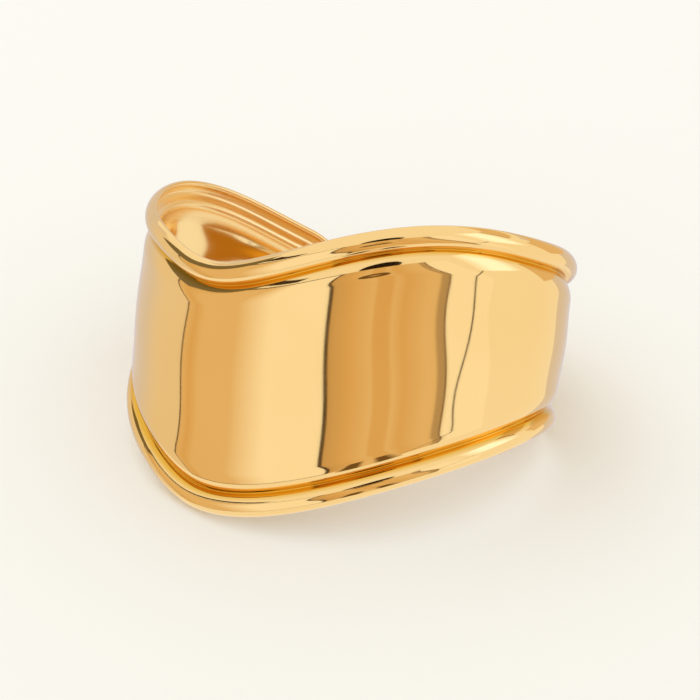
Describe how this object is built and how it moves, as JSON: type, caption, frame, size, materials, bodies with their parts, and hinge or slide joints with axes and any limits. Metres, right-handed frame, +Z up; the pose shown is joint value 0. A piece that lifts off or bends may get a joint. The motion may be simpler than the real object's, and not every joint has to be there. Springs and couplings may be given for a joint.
{
  "type": "cuff bracelet",
  "caption": "Wide open cuff bracelet in polished gold-coloured metal, wavy edged, with a rounded bead along its rim and two rounded ends with a gap at the back.",
  "frame": {"origin": "centre of the bounding box in plan, at the floor that the cuff lies on", "axes": "+X to the cuff's right as the picture shows it, +Y towards the open back, +Z up from the floor"},
  "size_m": [0.0676, 0.058, 0.0462],
  "materials": {
    "polished_gold": "mirror polish, gold plated"
  },
  "bodies": {
    "root": {"cuff": "polished_gold"}
  },
  "joints": []
}
